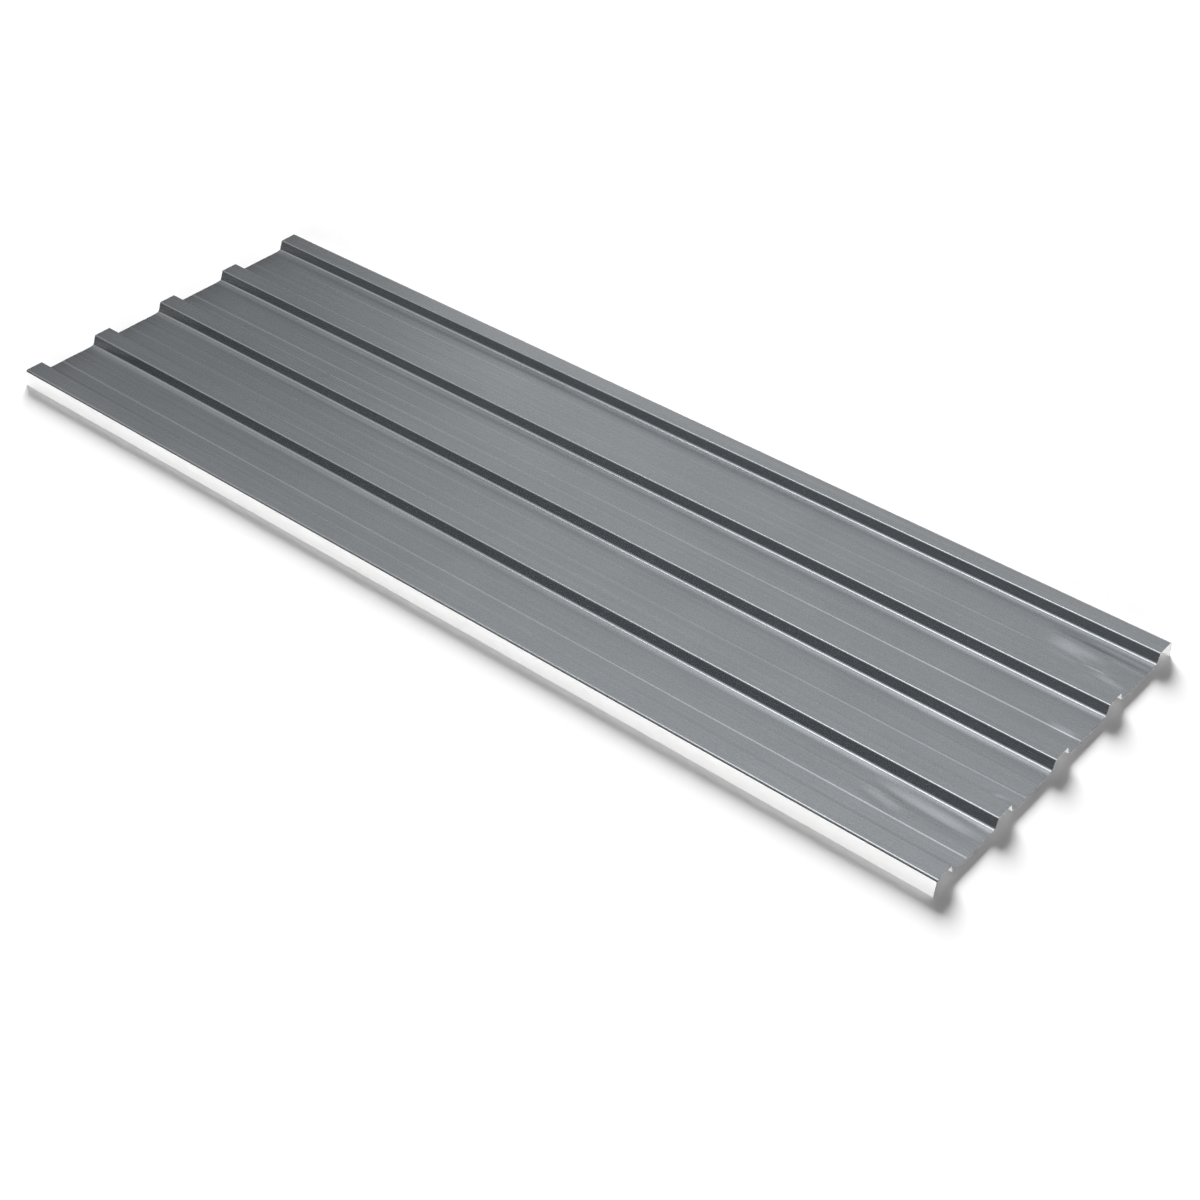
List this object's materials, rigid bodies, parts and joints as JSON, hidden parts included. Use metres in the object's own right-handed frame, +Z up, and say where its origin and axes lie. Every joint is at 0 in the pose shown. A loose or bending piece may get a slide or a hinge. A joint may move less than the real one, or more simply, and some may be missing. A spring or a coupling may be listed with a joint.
{
  "type": "corrugated metal sheet",
  "caption": "Box-profile roofing sheet of thin coated steel, with trapezoidal ribs, flat pans and hemmed outer flanges.",
  "frame": {"origin": "on the floor under the middle of the sheet", "axes": "+X along the sheet and its ribs, +Y across it, +Z up through the crowns of the ribs"},
  "size_m": [1.29, 0.45, 0.0195],
  "materials": {
    "coated_steel": "satin grey coat"
  },
  "bodies": {
    "root": {"roofing_sheet": "coated_steel"}
  },
  "joints": []
}
